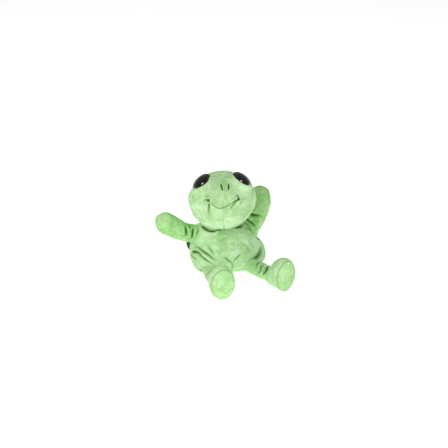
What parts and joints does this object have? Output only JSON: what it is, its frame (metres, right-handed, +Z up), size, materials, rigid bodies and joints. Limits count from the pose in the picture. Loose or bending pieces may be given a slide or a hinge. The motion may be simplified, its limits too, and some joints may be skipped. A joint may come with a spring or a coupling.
{
  "type": "hand puppet",
  "caption": "Plush turtle glove puppet with a padded head, mitts and feet, a back shell, a lined hand cavity and finger pockets.",
  "frame": {"origin": "centre of the hand opening, on the plane that the puppet sits on", "axes": "+Z up, -Y the way the face looks, +X towards the raised arm"},
  "size_m": [0.2294, 0.1954, 0.1868],
  "materials": {
    "green_plush": "soft short-pile plush, mottled light green",
    "dark_green_plush": "short-pile plush, dark green",
    "sole_plush": "short-pile plush, lighter green",
    "lining_fabric": "thin woven cotton lining",
    "fibre_filling": "polyester fibre filling",
    "eye_gloss": "polished black dome",
    "eye_ring_felt": "dark felt ring",
    "washer_plastic": "moulded locking washer",
    "black_thread": "embroidery thread",
    "green_thread": "embroidery thread"
  },
  "bodies": {
    "torso": {"body_front": "green_plush", "body_back": "green_plush", "glove_lining": "lining_fabric", "hem_band": "dark_green_plush", "shell_cover": "dark_green_plush", "shell_padding": "fibre_filling"},
    "neck": {"neck_collar": "green_plush"},
    "head": {"left_face_panel": "green_plush", "right_face_panel": "green_plush", "crown_panel": "green_plush", "head_back_panel": "green_plush", "head_stuffing": "fibre_filling", "head_finger_pocket": "lining_fabric", "left_eye": "eye_gloss", "right_eye": "eye_gloss", "left_eye_ring": "eye_ring_felt", "right_eye_ring": "eye_ring_felt", "left_eye_washer": "washer_plastic", "right_eye_washer": "washer_plastic", "nostril_stitches": "black_thread", "mouth_stitch": "green_thread", "dimple_threads": "green_thread"},
    "left_arm": {"left_arm_skin": "green_plush", "left_mitt_stuffing": "fibre_filling", "left_finger_sleeve": "lining_fabric"},
    "left_leg": {"left_leg_skin": "green_plush", "left_leg_stuffing": "fibre_filling", "left_foot_skin": "green_plush", "left_foot_stuffing": "fibre_filling", "left_sole": "sole_plush"},
    "right_arm": {"right_arm_skin": "green_plush", "right_mitt_stuffing": "fibre_filling", "right_finger_sleeve": "lining_fabric"},
    "right_leg": {"right_leg_skin": "green_plush", "right_leg_stuffing": "fibre_filling", "right_foot_skin": "green_plush", "right_foot_stuffing": "fibre_filling", "right_sole": "sole_plush"}
  },
  "joints": [
    {"name": "neck_turn", "type": "hinge", "parent": "torso", "child": "neck", "pos_m": [-0.011, 0.002, 0.07], "axis": [0, 0, 1], "range_deg": [-15, 15]},
    {"name": "head_nod", "type": "hinge", "parent": "neck", "child": "head", "pos_m": [-0.011, 0.002, 0.084], "axis": [1, 0, 0], "range_deg": [-15, 10]},
    {"name": "left_shoulder", "type": "hinge", "parent": "torso", "child": "left_arm", "pos_m": [-0.071, -0.002, 0.0595], "axis": [0, 1, 0], "range_deg": [-40, 20]},
    {"name": "right_shoulder", "type": "hinge", "parent": "torso", "child": "right_arm", "pos_m": [0.048, 0.006, 0.068], "axis": [0, 1, 0], "range_deg": [-3, 60]},
    {"name": "left_hip", "type": "hinge", "parent": "torso", "child": "left_leg", "pos_m": [-0.037, -0.0575, 0.015], "axis": [0.9816, 0.1908, 0], "range_deg": [-20, 60]},
    {"name": "right_hip", "type": "hinge", "parent": "torso", "child": "right_leg", "pos_m": [0.044, -0.053, 0.015], "axis": [0.809, 0.5878, 0], "range_deg": [-20, 60]}
  ]
}
